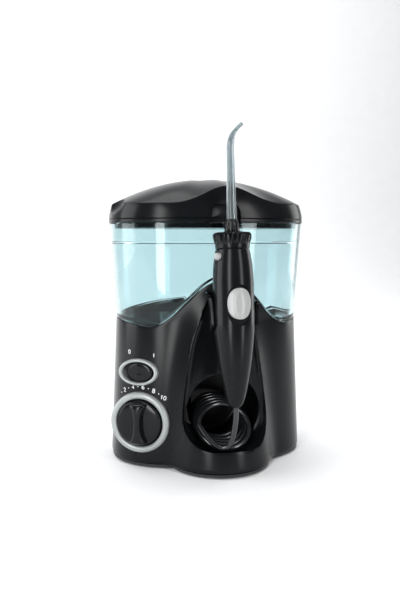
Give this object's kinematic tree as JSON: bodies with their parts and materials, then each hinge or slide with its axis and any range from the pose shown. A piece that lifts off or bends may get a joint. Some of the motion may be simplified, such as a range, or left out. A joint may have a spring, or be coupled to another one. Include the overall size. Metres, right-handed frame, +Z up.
{
  "type": "water flosser",
  "caption": "Counter-top water flosser: pump base with pressure dial and switch, clear lift-off tank with hinged lid, and a leaning handle with a clear bent jet tip on a coiled hose.",
  "frame": {"origin": "on the table under the middle of the object's outer box", "axes": "+X to the right seen from the front, +Y to the back, +Z up"},
  "size_m": [0.159, 0.1474, 0.2581],
  "materials": {
    "housing_black": "satin moulded ABS, dark graphite",
    "inner_black": "matt moulded ABS",
    "foot_rubber": "matt rubber",
    "seal_rubber": "matt rubber",
    "steel": "zinc plated",
    "clear_tank": "clear pale blue plastic",
    "silver_trim": "satin silver paint on plastic",
    "dial_black": "polished black plastic",
    "white_button": "white plastic",
    "clear_tip": "clear grey plastic",
    "natural_plastic": "natural acetal",
    "gear_plastic": "white acetal",
    "hose_black": "smooth black hose",
    "clear_tube": "translucent silicone tube",
    "zinc": "die-cast zinc",
    "motor_steel": "plated motor can",
    "copper": "enamelled winding",
    "bronze": "sintered bronze",
    "board_green": "circuit board"
  },
  "bodies": {
    "base": {"base_housing": "housing_black", "base_plate": "inner_black", "feet": "foot_rubber", "screws": "steel", "reservoir_deck": "housing_black", "handle_cradle": "housing_black", "inlet_fitting": "natural_plastic", "inlet_seal": "seal_rubber", "dial_ring": "silver_trim", "valve_housing": "natural_plastic", "switch_bezel": "silver_trim", "switch_body": "inner_black", "rectifier_board": "board_green", "cord_gland": "inner_black", "pump_frame": "zinc", "motor_can": "motor_steel", "motor_bushings": "bronze", "gear_axle": "steel", "pump_body": "natural_plastic", "pump_head": "natural_plastic", "check_valves": "seal_rubber", "inlet_tube": "clear_tube", "outlet_tube": "clear_tube", "hose_fitting": "inner_black", "hose_coil": "hose_black", "hose_lead": "hose_black", "hose_tail": "hose_black"},
    "dial": {"pressure_dial": "dial_black", "valve_stem": "natural_plastic"},
    "rocker": {"switch_rocker": "dial_black"},
    "rotor": {"motor_rotor": "copper", "motor_pinion": "gear_plastic"},
    "gear": {"drive_gear": "gear_plastic"},
    "rod": {"connecting_rod": "natural_plastic"},
    "piston": {"pump_piston": "natural_plastic", "piston_seals": "seal_rubber"},
    "tank": {"reservoir": "clear_tank", "tank_valve": "seal_rubber"},
    "lid": {"lid_tray": "housing_black", "lid_hinge_pin": "steel", "stored_tips": "clear_tip"},
    "cover": {"lid_cover": "housing_black"},
    "handle": {"handle_shell": "housing_black", "handle_gland": "inner_black", "valve_block": "natural_plastic", "water_tubes": "clear_tube", "eject_spring": "steel"},
    "collar": {"rotation_collar": "housing_black", "tip_socket": "natural_plastic", "socket_seals": "seal_rubber"},
    "tip": {"jet_tip": "clear_tip", "tip_cone": "dial_black"},
    "eject": {"eject_button": "white_button", "eject_latch": "steel"},
    "pause": {"pause_button": "white_button", "pause_spool": "natural_plastic"}
  },
  "joints": [
    {"name": "tank_lift", "type": "slide", "parent": "base", "child": "tank", "axis": [0, 0, 1], "range_m": [0, 0.06]},
    {"name": "lid_lift", "type": "slide", "parent": "tank", "child": "lid", "axis": [0, 0, 1], "range_m": [0, 0.03]},
    {"name": "cover_hinge", "type": "hinge", "parent": "lid", "child": "cover", "pos_m": [0, 0.0694, 0.1934], "axis": [-1, 0, 0], "range_deg": [0, 95]},
    {"name": "handle_lift", "type": "slide", "parent": "base", "child": "handle", "axis": [0, -0.9962, 0.0872], "range_m": [0, 0.03], "deforming": ["hose_lead"]},
    {"name": "collar_turn", "type": "hinge", "parent": "handle", "child": "collar", "pos_m": [0, -0.05332, 0.17155], "axis": [0, 0.0872, 0.9962], "continuous": true},
    {"name": "tip_release", "type": "slide", "parent": "collar", "child": "tip", "axis": [0, 0.0872, 0.9962], "range_m": [0, 0.03]},
    {"name": "eject_press", "type": "slide", "parent": "handle", "child": "eject", "axis": [1, 0, 0], "range_m": [0, 0.001], "stiffness_N_per_m": 400, "springref_m": -0.0008},
    {"name": "pause_slide", "type": "slide", "parent": "handle", "child": "pause", "axis": [0, -0.0872, -0.9962], "range_m": [0, 0.005]},
    {"name": "dial_turn", "type": "hinge", "parent": "base", "child": "dial", "pos_m": [-0.0612, -0.0171, 0.035], "axis": [-0.5, -0.866, 0], "range_deg": [-50, 50]},
    {"name": "rocker_tilt", "type": "hinge", "parent": "base", "child": "rocker", "pos_m": [-0.06, -0.01304, 0.0755], "axis": [0, 0, 1], "range_deg": [0, 14]},
    {"name": "gear_spin", "type": "hinge", "parent": "base", "child": "gear", "pos_m": [0.018, 0.038, 0.0575], "axis": [0, 0, 1], "continuous": true},
    {"name": "motor_spin", "type": "hinge", "parent": "base", "child": "rotor", "pos_m": [0.042, 0.038, 0.03], "axis": [0, 0, 1], "continuous": true},
    {"name": "rod_orbit", "type": "hinge", "parent": "gear", "child": "rod", "pos_m": [0.0165, 0.038, 0.0633], "axis": [0, 0, 1], "continuous": true},
    {"name": "piston_stroke", "type": "slide", "parent": "base", "child": "piston", "axis": [1, 0, 0], "range_m": [-0.0015, 0.0015]}
  ],
  "couplings": [
    {"joint": "motor_spin", "follows": "gear_spin", "ratio": -4},
    {"joint": "rod_orbit", "follows": "gear_spin", "ratio": -1}
  ]
}
